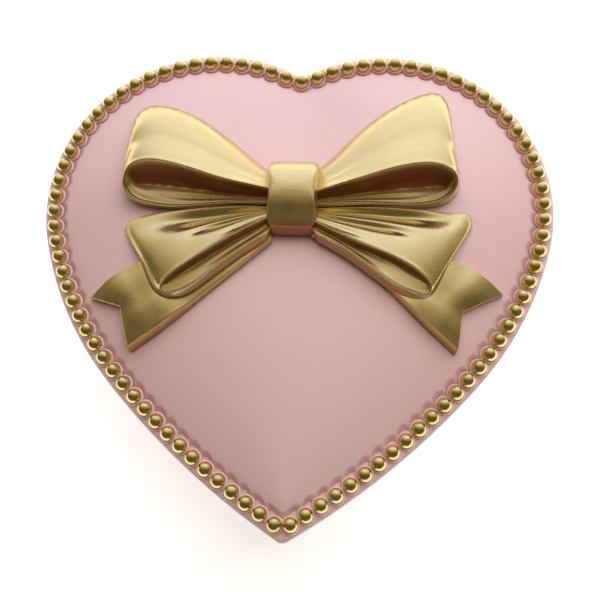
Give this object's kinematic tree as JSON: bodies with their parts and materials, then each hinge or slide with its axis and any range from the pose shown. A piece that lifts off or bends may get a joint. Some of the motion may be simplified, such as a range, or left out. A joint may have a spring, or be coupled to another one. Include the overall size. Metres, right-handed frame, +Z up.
{
  "type": "heart-shaped trinket box",
  "caption": "Heart-shaped lidded trinket box with a domed pink lid, a beaded gold edge and a cast gold ribbon bow; the lid lifts straight off a velvet-lined base.",
  "frame": {"origin": "centre of the box's outline, on the surface it stands on", "axes": "+Z up, +Y towards the notch between the lobes, -Y towards the tip, +X to the right seen from the tip"},
  "size_m": [0.108, 0.1056, 0.0563],
  "materials": {
    "pink_lacquer": "satin-gloss dusty pink lacquer sprayed on cast resin",
    "bright_gold": "bright metallic gold on moulded resin beads",
    "satin_gold": "satin metallic gold paint on cast resin",
    "rose_velvet": "short-pile rose velvet on card",
    "cream_felt": "pressed cream felt"
  },
  "bodies": {
    "base": {"felt_pad": "cream_felt", "base_shell": "pink_lacquer", "wall_lining": "rose_velvet", "floor_pad": "rose_velvet"},
    "lid": {"lid_shell": "pink_lacquer", "locating_lip": "pink_lacquer", "lid_lining": "rose_velvet", "beads_left_lobe": "bright_gold", "beads_left_flank": "bright_gold", "beads_right_lobe": "bright_gold", "beads_right_flank": "bright_gold", "bow_knot": "satin_gold", "upper_loop_left": "satin_gold", "upper_loop_right": "satin_gold", "lower_loop_left": "satin_gold", "lower_loop_right": "satin_gold", "tail_left": "satin_gold", "tail_right": "satin_gold"}
  },
  "joints": [
    {"name": "lid_lift", "type": "slide", "parent": "base", "child": "lid", "axis": [0, 0, 1], "range_m": [0, 0.04]}
  ]
}
